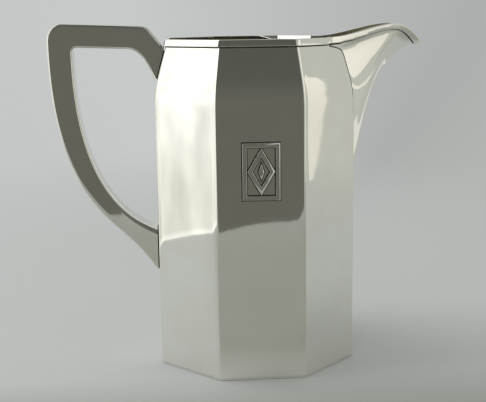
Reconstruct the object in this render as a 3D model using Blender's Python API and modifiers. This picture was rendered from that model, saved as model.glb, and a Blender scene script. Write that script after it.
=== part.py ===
"""Hand-made silver water pitcher with an eight-panelled body.

Frame: +X towards the spout, the handle at -X, the decorated front panel facing -Y, +Z up.
The origin is the centre of the underside of the base. All sizes are in metres.
"""
import math

import bmesh
import bpy
from mathutils import Vector

MM = 0.001

# Sheet and joints
SHEET = 1.0 * MM            # thickness of wall and spout
HANDLE_SHEET = 1.1 * MM     # thickness of the handle's four pieces
GAP = 0.3 * MM              # joint between two soldered pieces
CUTTER_OVERRUN = 5.0 * MM   # how far a cutter stands out past what it cuts

# Body: eight panels, the front and back ones a touch wider than the two end ones
APOTHEM = 58.0 * MM         # axis to the middle of a panel, outer face
FRONT_RATIO = 0.424         # half width of the front and back panels over the apothem
END_RATIO = 0.414           # half width of the spout-side and handle-side panels over the apothem
BASE_THICK = 1.2 * MM
RIM_Z = 193.0 * MM
SHOULDER_Z = 155.0 * MM     # the walls are upright up to here
SHOULDER_RADIUS = 62.0 * MM
SHOULDER_LEAN = math.radians(15.6)   # inward lean above the shoulder
SHOULDER_STEPS = 4

# Rim band
BAND_THICK = 1.2 * MM
BAND_HEIGHT = 3.8 * MM

# Spout: a seam on the body, a lip curve and a keel, with V-shaped sections between
SEAM_FOOT_Z = 90.0 * MM     # lowest point of the V on the spout-side panel
SEAM_CORNER_Z = 149.0 * MM  # where the V reaches the body's corner
SEAM_LAP = 0.8 * MM         # how far past the corner the seam runs
SEAM_TURN_Z = 182.5 * MM    # where the seam leaves the corner and turns along the rim
SEAM_END = (30.1 * MM, 188.3 * MM)   # y and z of its upper end, under the band
SEAM_FOOT_HANDLE = 0.33     # how far the V's foot runs level, of the way to the corner
SEAM_CORNER_HANDLE = (0.57, 0.48)    # and how it comes up to the corner, across and up
SEAM_BEND = 0.65            # height of the upper turn's bend, of the way to the seam's end
SEAM_CORNER_SHARE = 0.45    # share of the seam's points below the body's corner
SEAM_TURN_SHARE = 0.70      # share below the turn
SEAM_END_SHARE = 0.90       # share below the upper end; the rest is the joint behind the band
LIP_START_Y = 29.7 * MM     # where the lip leaves the rim
LIP_CREST = Vector((85.0, 10.4, 200.4)) * MM
LIP_TIP = Vector((102.4, 0.0, 189.4)) * MM
LIP_CREST_SHARE = 0.40
LIP_TIP_HANDLE = Vector((0.0, 2.4, 0.0)) * MM
LIP_CREST_HANDLES = (Vector((8.5, -4.2, 0.0)) * MM, Vector((-13.0, 6.4, 0.0)) * MM)
LIP_START_HANDLE = Vector((15.0, -12.5, -0.3)) * MM
KEEL_HANDLES = (Vector((65.3, 0.0, 179.6)) * MM, Vector((70.7, 0.0, 138.1)) * MM)
SPOUT_KEEL = 0.20           # share of a section's height that the keel's rounding takes
SPOUT_BLEND = 1.6           # how late the sections turn into the seam
SPOUT_STATIONS = 20         # from the tip back to the body
SPOUT_STEPS = 20            # from the keel up to the lip

# Handle, outlined in the XZ plane by an outer and an inner curve
HANDLE_WIDTH = 13.4 * MM
HANDLE_FOOT_WIDTH = 21.0 * MM    # at the lower joint
HANDLE_HEAD_WIDTH = 15.0 * MM    # at the upper joint
HANDLE_FOOT_FLARE = 26.0 * MM    # distance from the wall over which it widens
HANDLE_HEAD_FLARE = 6.0 * MM
HANDLE_SPLIT_Z = 130.0 * MM      # the upper joint is above this, the lower one below
# From the upper joint to the lower one: steps, then each curve's four Bezier points in mm
HANDLE_RUNS = [
    # the chamfer up from the rim, and the curve under the grip
    (6, ((-51.0, 184.8), (-54.4, 189.2), (-57.6, 193.1), (-60.8, 197.2)),
        ((-55.3, 166.0), (-60.5, 178.5), (-64.5, 187.6), (-73.0, 188.5))),
    # its rounded upper corner
    (3, ((-60.8, 197.2), (-62.2, 199.0), (-63.8, 199.5), (-67.0, 199.6)),
        ((-73.0, 188.5), (-74.0, 188.5), (-75.0, 188.6), (-76.0, 188.6))),
    # the straight top
    (1, ((-67.0, 199.6), (-81.0, 200.2), (-95.8, 200.8), (-110.5, 201.4)),
        ((-76.0, 188.6), (-84.9, 188.9), (-93.7, 189.3), (-102.6, 189.6))),
    # the far corner
    (5, ((-110.5, 201.4), (-115.5, 201.6), (-119.0, 197.8), (-119.0, 192.3)),
        ((-102.6, 189.6), (-104.8, 189.7), (-106.5, 188.6), (-106.6, 186.0))),
    # the long back, bowed in towards the body
    (14, ((-119.0, 192.3), (-119.0, 143.9), (-109.8, 109.1), (-86.2, 85.5)),
         ((-106.6, 186.0), (-106.6, 140.0), (-97.0, 110.2), (-79.6, 92.0))),
    # the foot, running into the wall
    (10, ((-86.2, 85.5), (-72.4, 71.7), (-68.6, 70.4), (-54.6, 49.6)),
         ((-79.6, 92.0), (-73.6, 85.7), (-66.6, 81.0), (-54.0, 77.0))),
]

# Ornament on the front panel: an upright frame, a lozenge and a stud, all raised
ORNAMENT_Z = 121.0 * MM
ORNAMENT_WIDTH = 21.0 * MM
ORNAMENT_HEIGHT = 32.0 * MM
ORNAMENT_STRIP = 2.4 * MM   # width of the raised strips
ORNAMENT_RAISE = 1.2 * MM
ORNAMENT_INSET = 0.4 * MM   # from the frame to the points of the lozenge
STUD_WIDTH = 3.2 * MM
STUD_HEIGHT = 9.0 * MM

SILVER = (0.78, 0.77, 0.70)
POLISH = 0.16               # roughness of the polished sheet


# ---------------------------------------------------------------- helpers

def clear_scene():
    for item in list(bpy.data.objects):
        bpy.data.objects.remove(item, do_unlink=True)


def collection(name):
    made = bpy.data.collections.new(name)
    bpy.context.scene.collection.children.link(made)
    return made


def silver(name):
    material = bpy.data.materials.new(name)
    material.use_nodes = True
    shader = material.node_tree.nodes["Principled BSDF"]
    shader.inputs["Base Color"].default_value = (*SILVER, 1.0)
    shader.inputs["Metallic"].default_value = 1.0
    shader.inputs["Roughness"].default_value = POLISH
    return material


def add_object(name, mesh, group, material=None, smooth_angle=25.0):
    """Links a mesh as a named object, shaded smooth apart from its real edges."""
    item = bpy.data.objects.new(name, mesh)
    group.objects.link(item)
    if material is not None:
        mesh.materials.append(material)
        mesh.shade_smooth()
        mesh.set_sharp_from_angle(angle=math.radians(smooth_angle))
    return item


def to_mesh(name, bm, closed=True):
    if closed:
        bmesh.ops.recalc_face_normals(bm, faces=bm.faces)
    mesh = bpy.data.meshes.new(name)
    bm.to_mesh(mesh)
    bm.free()
    return mesh


def grid_mesh(name, rows, closed=False):
    """Skins rows of points with quads; closed joins each row's last point to its first."""
    bm = bmesh.new()
    verts = [[bm.verts.new(p) for p in row] for row in rows]
    count = len(rows[0])
    for low, high in zip(verts, verts[1:]):
        for i in range(count if closed else count - 1):
            j = (i + 1) % count
            bm.faces.new((low[i], high[i], high[j], low[j]))
    if closed:
        bm.faces.new(verts[0])
        bm.faces.new(verts[-1])
    bmesh.ops.remove_doubles(bm, verts=bm.verts, dist=0.001 * MM)
    return to_mesh(name, bm, closed)


def bezier(p0, p1, p2, p3, t):
    s = 1.0 - t
    return p0 * s**3 + p1 * (3 * s * s * t) + p2 * (3 * s * t * t) + p3 * t**3


def mirrored(point):
    return Vector((point.x, -point.y, point.z))


# ---------------------------------------------------------------- body

def apothem_at(z):
    """Outer apothem of the wall at a height: upright, a short arc, then a steady lean."""
    arc_top = SHOULDER_Z + SHOULDER_RADIUS * math.sin(SHOULDER_LEAN)
    if z <= SHOULDER_Z:
        return APOTHEM
    if z <= arc_top:
        rise = z - SHOULDER_Z
        return APOTHEM - SHOULDER_RADIUS + math.sqrt(SHOULDER_RADIUS**2 - rise**2)
    drawn_in = SHOULDER_RADIUS * (1.0 - math.cos(SHOULDER_LEAN))
    return APOTHEM - drawn_in - (z - arc_top) * math.tan(SHOULDER_LEAN)


def octagon(apothem, z):
    """The eight corners of a level section, anticlockwise from the +X panel's -Y corner."""
    front, end = apothem * FRONT_RATIO, apothem * END_RATIO
    corners = [(apothem, -end), (apothem, end), (front, apothem), (-front, apothem),
               (-apothem, end), (-apothem, -end), (-front, -apothem), (front, -apothem)]
    return [Vector((x, y, z)) for x, y in corners]


def on_body(y, z):
    """The point of the outer wall, on its spout side, with this y and z."""
    apothem = apothem_at(z)
    end = apothem * END_RATIO
    side = abs(y)
    if side <= end:
        return Vector((apothem, y, z))
    slope = (1.0 - FRONT_RATIO) / (1.0 - END_RATIO)
    return Vector((apothem - (side - end) * slope, y, z))


def shoulder_levels():
    arc = [SHOULDER_Z + SHOULDER_RADIUS * math.sin(SHOULDER_LEAN * i / SHOULDER_STEPS)
           for i in range(SHOULDER_STEPS + 1)]
    return arc + [RIM_Z]


def make_body_wall(group, cutters, material):
    levels = [BASE_THICK + GAP] + shoulder_levels()
    bm = bmesh.new()
    rings = [[bm.verts.new(p) for p in octagon(apothem_at(z), z)] for z in levels]
    for low, high in zip(rings, rings[1:]):
        for i in range(8):
            j = (i + 1) % 8
            bm.faces.new((low[i], low[j], high[j], high[i]))
    wall = add_object("body_wall", to_mesh("body_wall", bm), group, material)
    shell = wall.modifiers.new("sheet", "SOLIDIFY")
    shell.thickness = SHEET
    shell.offset = -1.0
    shell.use_even_offset = True
    opening = wall.modifiers.new("spout_opening", "BOOLEAN")
    opening.operation = "DIFFERENCE"
    opening.object = make_opening_cutter(cutters)


def make_opening_cutter(group):
    """The spout's seam, eased outwards by the joint, swept along X through the wall."""
    side = [seam_yz(i / SPOUT_STEPS) for i in range(SPOUT_STEPS)]
    eased = [(y + GAP, z - 2.0 * GAP) for y, z in side]
    top = RIM_Z + CUTTER_OVERRUN
    half = [(0.0, eased[0][1])] + eased[1:] + [(eased[-1][0], top)]
    outline = half + [(-y, z) for y, z in reversed(half[1:])]
    # from well inside the vessel to past its outer face
    rows = [[Vector((x, y, z)) for y, z in outline] for x in (0.5 * APOTHEM, APOTHEM + CUTTER_OVERRUN)]
    cutter = add_object("opening_cutter", grid_mesh("opening_cutter", rows, closed=True), group)
    cutter.hide_render = True
    cutter.display_type = "WIRE"
    return cutter


def make_base_plate(group, material):
    bm = bmesh.new()
    face = bm.faces.new([bm.verts.new(p) for p in octagon(APOTHEM, 0.0)])
    raised = bmesh.ops.extrude_face_region(bm, geom=[face])
    verts = [v for v in raised["geom"] if isinstance(v, bmesh.types.BMVert)]
    bmesh.ops.translate(bm, verts=verts, vec=(0.0, 0.0, BASE_THICK))
    add_object("base_plate", to_mesh("base_plate", bm), group, material)


# ---------------------------------------------------------------- spout

def seam_yz(share):
    """Half of the spout's edge on the body as (y, z): 0 at the V's foot, 1 at the rim."""
    corner_y = APOTHEM * END_RATIO + SEAM_LAP
    turn_y = apothem_at(SEAM_TURN_Z) * END_RATIO + SEAM_LAP
    end_y, end_z = SEAM_END
    if share <= SEAM_CORNER_SHARE:
        foot, rise = SEAM_FOOT_Z, SEAM_CORNER_Z - SEAM_FOOT_Z
        point = bezier(Vector((0.0, foot)), Vector((SEAM_FOOT_HANDLE * corner_y, foot)),
                       Vector((SEAM_CORNER_HANDLE[0] * corner_y, foot + SEAM_CORNER_HANDLE[1] * rise)),
                       Vector((corner_y, SEAM_CORNER_Z)), share / SEAM_CORNER_SHARE)
        return point.x, point.y
    if share <= SEAM_TURN_SHARE:
        t = (share - SEAM_CORNER_SHARE) / (SEAM_TURN_SHARE - SEAM_CORNER_SHARE)
        z = SEAM_CORNER_Z + t * (SEAM_TURN_Z - SEAM_CORNER_Z)
        return apothem_at(z) * END_RATIO + SEAM_LAP, z
    if share <= SEAM_END_SHARE:
        t = (share - SEAM_TURN_SHARE) / (SEAM_END_SHARE - SEAM_TURN_SHARE)
        bend = Vector((turn_y, SEAM_TURN_Z + SEAM_BEND * (end_z - SEAM_TURN_Z)))
        point = bezier(Vector((turn_y, SEAM_TURN_Z)), bend, bend, Vector((end_y, end_z)), t)
        return point.x, point.y
    t = (share - SEAM_END_SHARE) / (1.0 - SEAM_END_SHARE)
    return end_y + t * (LIP_START_Y - end_y), end_z + t * (RIM_Z - end_z)


def lip_point(share):
    """Half of the lip curve: 0 at the pouring tip, 1 where it leaves the rim."""
    start = on_body(LIP_START_Y, RIM_Z)
    if share <= LIP_CREST_SHARE:
        return bezier(LIP_TIP, LIP_TIP + LIP_TIP_HANDLE, LIP_CREST + LIP_CREST_HANDLES[0], LIP_CREST,
                      share / LIP_CREST_SHARE)
    return bezier(LIP_CREST, LIP_CREST + LIP_CREST_HANDLES[1], start + LIP_START_HANDLE, start,
                  (share - LIP_CREST_SHARE) / (1.0 - LIP_CREST_SHARE))


def keel_point(share):
    """The spout's lowest line: 0 at the pouring tip, 1 at the V's foot."""
    foot = Vector((APOTHEM, 0.0, SEAM_FOOT_Z))
    return bezier(LIP_TIP, KEEL_HANDLES[0], KEEL_HANDLES[1], foot, share)


def spout_point(back, up):
    """The spout's outer face: back runs from tip to body, up from the keel to the lip.

    Each section is a hyperbola, two nearly flat flanks joined by a rounded keel. Towards
    the body it turns into the seam, measured between the keel's foot and the lip's start.
    """
    keel, lip = keel_point(back), lip_point(back)
    foot, start = keel_point(1.0), lip_point(1.0)
    seam = on_body(*seam_yz(up))
    round_width = math.sin(0.5 * math.pi * up)
    round_rise = 0.5 * (math.sqrt(SPOUT_KEEL**2 + 4.0 * (1.0 + SPOUT_KEEL) * round_width**2) - SPOUT_KEEL)
    seam_rise = (seam.z - foot.z) / (start.z - foot.z)
    seam_width = seam.y / start.y
    seam_set_out = seam.x - (foot.x + seam_rise * (start.x - foot.x))
    blend = back**SPOUT_BLEND
    rise = round_rise + blend * (seam_rise - round_rise)
    width = round_width + blend * (seam_width - round_width)
    return Vector((keel.x + rise * (lip.x - keel.x) + blend * seam_set_out,
                   width * lip.y,
                   keel.z + rise * (lip.z - keel.z)))


def station(back):
    """One section of half the spout, from the keel to the lip."""
    return [spout_point(back, i / SPOUT_STEPS) for i in range(SPOUT_STEPS + 1)]


def make_spout(group, material):
    rows = []
    for k in range(SPOUT_STATIONS + 1):
        half = station(k / SPOUT_STATIONS)
        rows.append([mirrored(p) for p in half[:0:-1]] + half)
    spout = add_object("spout", grid_mesh("spout", rows), group, material, smooth_angle=60.0)
    shell = spout.modifiers.new("sheet", "SOLIDIFY")
    shell.thickness = SHEET
    shell.offset = -1.0


# ---------------------------------------------------------------- rim band

def band_section(point, outward, down):
    """Four corners of the band's section, just outside the sheet at a point of its edge."""
    inner = point + outward * GAP
    outer = inner + outward * BAND_THICK
    return [inner, outer, outer + down * BAND_HEIGHT, inner + down * BAND_HEIGHT]


def body_band_sections():
    """Sections at the body's corners, +Y end first, without the two on the spout side."""
    lean = math.tan(SHOULDER_LEAN)
    sections = []
    for corner in octagon(apothem_at(RIM_Z), RIM_Z)[2:]:
        flat = Vector((corner.x, corner.y, 0.0)) / apothem_at(RIM_Z)
        down = flat * lean + Vector((0.0, 0.0, -1.0))
        sections.append(band_section(corner, flat, down))
    return sections


def lip_band_section(share):
    """The band's section, laid along the stretch of the spout that it covers."""
    points = station(share)
    head = points[-1]
    before = next((p for p in reversed(points) if (head - p).length > BAND_HEIGHT), points[0])
    run = (head - before).normalized()
    step = 0.5 / SPOUT_STATIONS
    along = lip_point(min(share + step, 1.0)) - lip_point(share - step)
    outward = along.cross(run).normalized()
    # the sheet bulges a little past its own chord behind the band
    bulge = max((p - head).dot(outward) for p in points if (head - p).length <= BAND_HEIGHT)
    return band_section(head + outward * bulge, outward, -run)


def tip_band_section():
    """The band's section at the pouring tip, where the sheet runs along the keel."""
    run = (LIP_TIP - keel_point(0.5 / SPOUT_STATIONS)).normalized()
    outward = Vector((0.0, 1.0, 0.0)).cross(run)
    return band_section(LIP_TIP, outward, -run)


def make_rim_band(group, material):
    far = [lip_band_section(k / SPOUT_STATIONS) for k in range(1, SPOUT_STATIONS + 1)]
    near = [[mirrored(p) for p in section] for section in reversed(far)]
    ring = near + [tip_band_section()] + far + body_band_sections()
    bm = bmesh.new()
    verts = [[bm.verts.new(p) for p in section] for section in ring]
    for k, section in enumerate(verts):
        following = verts[(k + 1) % len(verts)]
        for i in range(4):
            j = (i + 1) % 4
            bm.faces.new((section[i], section[j], following[j], following[i]))
    add_object("rim_band", to_mesh("rim_band", bm), group, material)


# ---------------------------------------------------------------- handle

def handle_stations():
    """Pairs of outer and inner points in the XZ plane, from the upper joint to the lower."""
    pairs = []
    for steps, outer, inner in HANDLE_RUNS:
        for i in range(0 if not pairs else 1, steps + 1):
            point_pair = [bezier(*(Vector((x, 0.0, z)) * MM for x, z in curve), i / steps)
                          for curve in (outer, inner)]
            pairs.append(point_pair)
    return pairs


def flare(distance, length):
    """1 at a joint, easing to 0 at the flare's far end."""
    left = max(0.0, 1.0 - distance / length)
    return left * left


def handle_half_width(point):
    """Half the handle's width at a point, widening where it meets the body."""
    gap = max(0.0, -point.x - apothem_at(point.z))
    if point.z > HANDLE_SPLIT_Z:
        extra = (HANDLE_HEAD_WIDTH - HANDLE_WIDTH) * flare(gap, HANDLE_HEAD_FLARE)
    else:
        extra = (HANDLE_FOOT_WIDTH - HANDLE_WIDTH) * flare(gap, HANDLE_FOOT_FLARE)
    return 0.5 * (HANDLE_WIDTH + extra)


def joint_clearance(group):
    """The body's own outline, larger by the joint, that trims the handle's ends."""
    levels = [BASE_THICK] + shoulder_levels()
    rows = [octagon(apothem_at(z) + GAP, z) for z in levels]
    cutter = add_object("joint_clearance", grid_mesh("joint_clearance", rows, closed=True), group)
    cutter.hide_render = True
    cutter.display_type = "WIRE"
    return cutter


def handle_sheet(name, rows, group, cutter, material):
    """One formed sheet of the handle: thickened to its inner side and trimmed to the body."""
    piece = add_object(name, grid_mesh(name, rows), group, material)
    shell = piece.modifiers.new("sheet", "SOLIDIFY")
    shell.thickness = HANDLE_SHEET
    shell.offset = -1.0
    trim = piece.modifiers.new("joint", "BOOLEAN")
    trim.operation = "DIFFERENCE"
    trim.object = cutter


def make_handle(group, cutters, material):
    cutter = joint_clearance(cutters)
    pairs = handle_stations()

    def at(point, side, inset=0.0):
        return Vector((point.x, side * (handle_half_width(point) - inset), point.z))

    # the two bands lie between the cheeks, clear of them by the joint
    inset = HANDLE_SHEET + GAP
    front = [[at(inner, -1), at(outer, -1)] for outer, inner in pairs]
    back = [[at(outer, 1), at(inner, 1)] for outer, inner in pairs]
    outer_band = [[at(outer, -1, inset), at(outer, 1, inset)] for outer, _ in pairs]
    inner_band = [[at(inner, 1, inset), at(inner, -1, inset)] for _, inner in pairs]
    handle_sheet("handle_side_front", front, group, cutter, material)
    handle_sheet("handle_side_back", back, group, cutter, material)
    handle_sheet("handle_outer_band", outer_band, group, cutter, material)
    handle_sheet("handle_inner_band", inner_band, group, cutter, material)


# ---------------------------------------------------------------- ornament

def raised_outline(name, outlines, group, material):
    """A flat piece with straight edges, standing on the front panel."""
    curve = bpy.data.curves.new(name, "CURVE")
    curve.dimensions = "2D"
    curve.fill_mode = "BOTH"
    curve.extrude = 0.5 * ORNAMENT_RAISE
    for outline in outlines:
        spline = curve.splines.new("POLY")
        spline.points.add(len(outline) - 1)
        for point, (x, z) in zip(spline.points, outline):
            point.co = (x, z, 0.0, 1.0)
        spline.use_cyclic_u = True
    piece = add_object(name, curve, group)
    curve.materials.append(material)
    piece.rotation_euler = (0.5 * math.pi, 0.0, 0.0)
    piece.location = (0.0, -(APOTHEM + GAP + 0.5 * ORNAMENT_RAISE), ORNAMENT_Z)


def rectangle(half_width, half_height):
    return [(-half_width, -half_height), (half_width, -half_height),
            (half_width, half_height), (-half_width, half_height)]


def lozenge(half_width, half_height):
    return [(0.0, -half_height), (half_width, 0.0), (0.0, half_height), (-half_width, 0.0)]


def make_ornament(group, material):
    half_width, half_height = 0.5 * ORNAMENT_WIDTH, 0.5 * ORNAMENT_HEIGHT
    inner_width, inner_height = half_width - ORNAMENT_STRIP, half_height - ORNAMENT_STRIP
    raised_outline("ornament_frame",
                   [rectangle(half_width, half_height), rectangle(inner_width, inner_height)],
                   group, material)
    wide, tall = inner_width - ORNAMENT_INSET, inner_height - ORNAMENT_INSET
    # a strip of even width: the inner lozenge is the outer one scaled about its centre
    inside = 1.0 - ORNAMENT_STRIP * math.hypot(wide, tall) / (wide * tall)
    raised_outline("ornament_lozenge",
                   [lozenge(wide, tall), lozenge(wide * inside, tall * inside)],
                   group, material)
    raised_outline("ornament_stud", [lozenge(0.5 * STUD_WIDTH, 0.5 * STUD_HEIGHT)],
                   group, material)


def main():
    clear_scene()
    group = collection("water_pitcher")
    cutters = collection("cutters")
    make_base_plate(group, silver("base_silver"))
    make_body_wall(group, cutters, silver("wall_silver"))
    make_spout(group, silver("spout_silver"))
    make_rim_band(group, silver("band_silver"))
    make_handle(group, cutters, silver("handle_silver"))
    make_ornament(group, silver("ornament_silver"))


main()
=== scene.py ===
import math

import bmesh
import bpy
from mathutils import Matrix, Vector, noise


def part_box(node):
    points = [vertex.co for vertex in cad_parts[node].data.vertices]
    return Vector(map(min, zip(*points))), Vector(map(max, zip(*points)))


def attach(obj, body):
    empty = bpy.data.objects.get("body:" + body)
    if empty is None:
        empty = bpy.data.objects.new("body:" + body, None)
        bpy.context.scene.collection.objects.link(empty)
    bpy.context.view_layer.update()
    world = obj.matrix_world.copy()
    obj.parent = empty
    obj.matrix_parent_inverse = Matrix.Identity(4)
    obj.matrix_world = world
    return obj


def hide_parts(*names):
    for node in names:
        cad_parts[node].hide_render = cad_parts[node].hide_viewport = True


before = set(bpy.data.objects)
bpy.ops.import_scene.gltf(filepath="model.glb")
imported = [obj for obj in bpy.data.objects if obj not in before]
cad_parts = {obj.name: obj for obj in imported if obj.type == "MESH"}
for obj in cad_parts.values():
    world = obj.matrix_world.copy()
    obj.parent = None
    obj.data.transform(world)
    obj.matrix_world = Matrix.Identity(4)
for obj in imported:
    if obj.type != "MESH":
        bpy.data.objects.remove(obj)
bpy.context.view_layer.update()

# ---------------------------------------------------------------- dimensions, from the frame

MM = 0.001
WALL_HIGH = Vector(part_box("body_wall")[1])
BASE_LOW, BASE_HIGH = (Vector(corner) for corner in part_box("base_plate"))
ORNAMENT_LOW, ORNAMENT_HIGH = (Vector(corner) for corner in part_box("ornament_frame"))

# The body: eight panels, upright to the shoulder, then leaning in
APOTHEM = WALL_HIGH.y
RIM_Z = WALL_HIGH.z
FRONT_RATIO = 0.424         # half the width of the front and back panels, in apothems
END_RATIO = 0.414           # and of the two panels towards the handle and the spout
SHOULDER_Z = 155.0 * MM
SHOULDER_RADIUS = 62.0 * MM # of the short bend into the lean
SHOULDER_LEAN = math.radians(15.6)
SHEET = 1.0 * MM
JOINT = 0.08 * MM           # what shows of a soldered joint
WELD = 0.0005 * MM          # points nearer than this are one
CORNER_RADIUS = 1.8 * MM    # of the wall's folded corners
CORNER_STEPS = 4
PANEL_STEPS = 14
LEVEL_STEP = 3.2 * MM
LEAN_LEVEL_STEP = 1.92 * MM # finer above the shoulder
WALL_UNEVEN = 0.045 * MM    # hammered sheet is never quite flat
UNEVEN_SIZE = 24.0 * MM
INNER_SIDE = 0.99           # faces nearer the axis than this share of the outline are the inside's
RIM_BEND_Z = 185.5 * MM     # inside, the mouth is filed upright above this
RIM_LIP_Z = 189.5 * MM
RIM_INNER = 48.9 * MM
RIM_EASE = 0.12             # towards the spout it is eased outwards by this slope from there up
RIM_EASE_START = 0.5        # and begins this far along the spout half of the front and back panels
OPENING_TOP = 5.0 * MM      # how far the opening's cutter stands above the rim
OPENING_REACH = (0.4, 1.3)  # where it starts and ends along X, in apothems

# The base
BASE_ROUND = 0.7 * MM
BASE_STEPS = 4

# The rim band
BAND_THICK = 1.5 * MM
BAND_HEIGHT = 3.8 * MM
BAND_ROUND = 0.35 * MM
BAND_ROUND_STEPS = 4
BAND_CROWN = 0.06 * MM      # its face swells by this much over the middle
BAND_CROWN_SHARES = (0.3, 0.5, 0.7)
BAND_LIP_CLEAR = 1.0 * MM   # the stretch round the body stops this far short of the lip
BAND_SHADOW_PROUD = 0.35 * MM    # painted shadow: a dark strip in the gap along the band's lower edge
BAND_SHADOW_HEIGHT = 0.75 * MM

# The spout: seam on the body, lip curve and keel
SEAM_FOOT_Z = 90.0 * MM
SEAM_CORNER_Z = 149.0 * MM
SEAM_LAP = 0.8 * MM
SEAM_TURN_Z = 182.5 * MM
SEAM_END = (30.1 * MM, 188.3 * MM)
SEAM_FOOT_HANDLE = 0.33
SEAM_CORNER_HANDLE = (0.57, 0.48)
SEAM_BEND = 0.65
SEAM_CORNER_SHARE = 0.45
SEAM_TURN_SHARE = 0.70
SEAM_END_SHARE = 0.90
LIP_START_Y = 29.7 * MM
LIP_CREST = Vector((85.0, 10.4, 200.4)) * MM
LIP_TIP = Vector((102.4, 0.0, 189.4)) * MM
LIP_CREST_SHARE = 0.40
LIP_TIP_HANDLE = Vector((0.0, 2.4, 0.0)) * MM
LIP_CREST_HANDLES = (Vector((8.5, -4.2, 0.0)) * MM, Vector((-13.0, 6.4, 0.0)) * MM)
LIP_START_HANDLE = Vector((15.0, -12.5, -0.3)) * MM
KEEL_HANDLES = (Vector((65.3, 0.0, 179.6)) * MM, Vector((70.7, 0.0, 138.1)) * MM)
SPOUT_KEEL = 0.20           # share of a section's height that the keel's rounding takes
SPOUT_BLEND = 1.6           # how late the sections turn into the seam
SEAM_SOLDER = 0.38 * MM     # radius of the blackened solder along the seam's upper part
SEAM_SOLDER_FROM = 0.52     # share of the seam where it begins
SEAM_SOLDER_TAPER = 0.25    # share of its radius that is left where it begins
SEAM_SOLDER_STATIONS = 40
SEAM_SOLDER_SIDES = 8
SPOUT_STATIONS = 56
SPOUT_STEPS = 60

# The handle
HANDLE_WIDTH = 13.4 * MM
HANDLE_FOOT_WIDTH = 21.0 * MM
HANDLE_HEAD_WIDTH = 15.0 * MM
HANDLE_FOOT_FLARE = 26.0 * MM
HANDLE_HEAD_FLARE = 6.0 * MM
HANDLE_SPLIT_Z = 130.0 * MM # its head is above this, its foot below
HANDLE_SHEET = 1.1 * MM
HANDLE_ROUND = 0.4 * MM     # radius of its filed edges
SOLDER_AND_SHADE_LINE = 0.9 * MM      # the dark joint between handle and body: blackened solder, with the gap's shade painted in as well
SOLDER_AND_SHADE_SUNK = 0.2 * MM      # how far it lies below the handle's faces
EDGE_STEPS = 3              # from the middle of a rounded edge to the flat beside it
FLAT_STEPS = 8
HEAD_STATIONS = 10          # stations that each joint's dark filling, blackened solder and painted shade, spans
FOOT_STATIONS = 12

# Its run from the upper joint to the lower: steps, outer curve, inner curve, as (x, z) in mm
HANDLE_RUNS = [
    (14, ((-51.0, 184.8), (-54.4, 189.2), (-57.6, 193.1), (-60.8, 197.2)),
         ((-55.3, 166.0), (-60.5, 178.5), (-64.5, 187.6), (-73.0, 188.5))),
    (8, ((-60.8, 197.2), (-62.2, 199.0), (-63.8, 199.5), (-67.0, 199.6)),
        ((-73.0, 188.5), (-74.0, 188.5), (-75.0, 188.6), (-76.0, 188.6))),
    (8, ((-67.0, 199.6), (-81.0, 200.2), (-95.8, 200.8), (-110.5, 201.4)),
        ((-76.0, 188.6), (-84.9, 188.9), (-93.7, 189.3), (-102.6, 189.6))),
    (12, ((-110.5, 201.4), (-115.5, 201.6), (-119.0, 197.8), (-119.0, 192.3)),
         ((-102.6, 189.6), (-104.8, 189.7), (-106.5, 188.6), (-106.6, 186.0))),
    (40, ((-119.0, 192.3), (-119.0, 143.9), (-109.8, 109.1), (-86.2, 85.5)),
         ((-106.6, 186.0), (-106.6, 140.0), (-97.0, 110.2), (-79.6, 92.0))),
    (24, ((-86.2, 85.5), (-72.4, 71.7), (-68.6, 70.4), (-54.6, 49.6)),
         ((-79.6, 92.0), (-73.6, 85.7), (-66.6, 81.0), (-54.0, 77.0))),
]

# The ornament
ORNAMENT_STRIP = 2.4 * MM
ORNAMENT_INSET = 0.4 * MM
ORNAMENT_ROUND = 0.22 * MM
ORNAMENT_ROUND_STEPS = 3
ORNAMENT_WELD = 0.001 * MM
ORNAMENT_FLAT = math.radians(1.0)   # faces this near to one plane are joined
ORNAMENT_SOLDER_AND_SHADE = 0.3 * MM  # thickness of the dark rim round the strips: blackened solder, with painted shade where the strips meet the panel
ORNAMENT_SOLDER_AND_SHADE_PROUD = 0.55 * MM
STUD_WIDTH = 3.2 * MM
STUD_HEIGHT = 9.0 * MM

# How sharp an edge must be to stay sharp in the shading
SHARP_FOLD = math.radians(35.0)
SHARP_BAND = math.radians(50.0)
SHARP_SPOUT = math.radians(60.0)


# ---------------------------------------------------------------- helpers

def bezier(p0, p1, p2, p3, t):
    s = 1.0 - t
    return p0 * s**3 + p1 * (3 * s * s * t) + p2 * (3 * s * t * t) + p3 * t**3


def mirrored(point):
    return Vector((point.x, -point.y, point.z))


def add_mesh(name, mesh, material, inner=None, sharp=SHARP_FOLD):
    """Links a mesh with its finish; the second slot is the finish of its inner side."""
    item = bpy.data.objects.new(name, mesh)
    bpy.context.scene.collection.objects.link(item)
    mesh.materials.append(material)
    if inner is not None:
        mesh.materials.append(inner)
    mesh.shade_smooth()
    mesh.set_sharp_from_angle(angle=sharp)
    return item


def grid_mesh(name, rows, closed=False, capped=False):
    """Skins rows of points with quads; closed joins each row's last point to its first."""
    bm = bmesh.new()
    verts = [[bm.verts.new(p) for p in row] for row in rows]
    count = len(rows[0])
    for low, high in zip(verts, verts[1:]):
        for i in range(count if closed else count - 1):
            j = (i + 1) % count
            bm.faces.new((low[i], high[i], high[j], low[j]))
    if capped:
        bm.faces.new(verts[0])
        bm.faces.new(verts[-1])
        bmesh.ops.recalc_face_normals(bm, faces=bm.faces)
    bmesh.ops.remove_doubles(bm, verts=bm.verts, dist=WELD)
    mesh = bpy.data.meshes.new(name)
    bm.to_mesh(mesh)
    bm.free()
    return mesh


def sheet_modifier(item, thickness):
    shell = item.modifiers.new("sheet", "SOLIDIFY")
    shell.thickness = thickness
    shell.offset = -1.0
    shell.material_offset = len(item.data.materials) - 1


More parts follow.
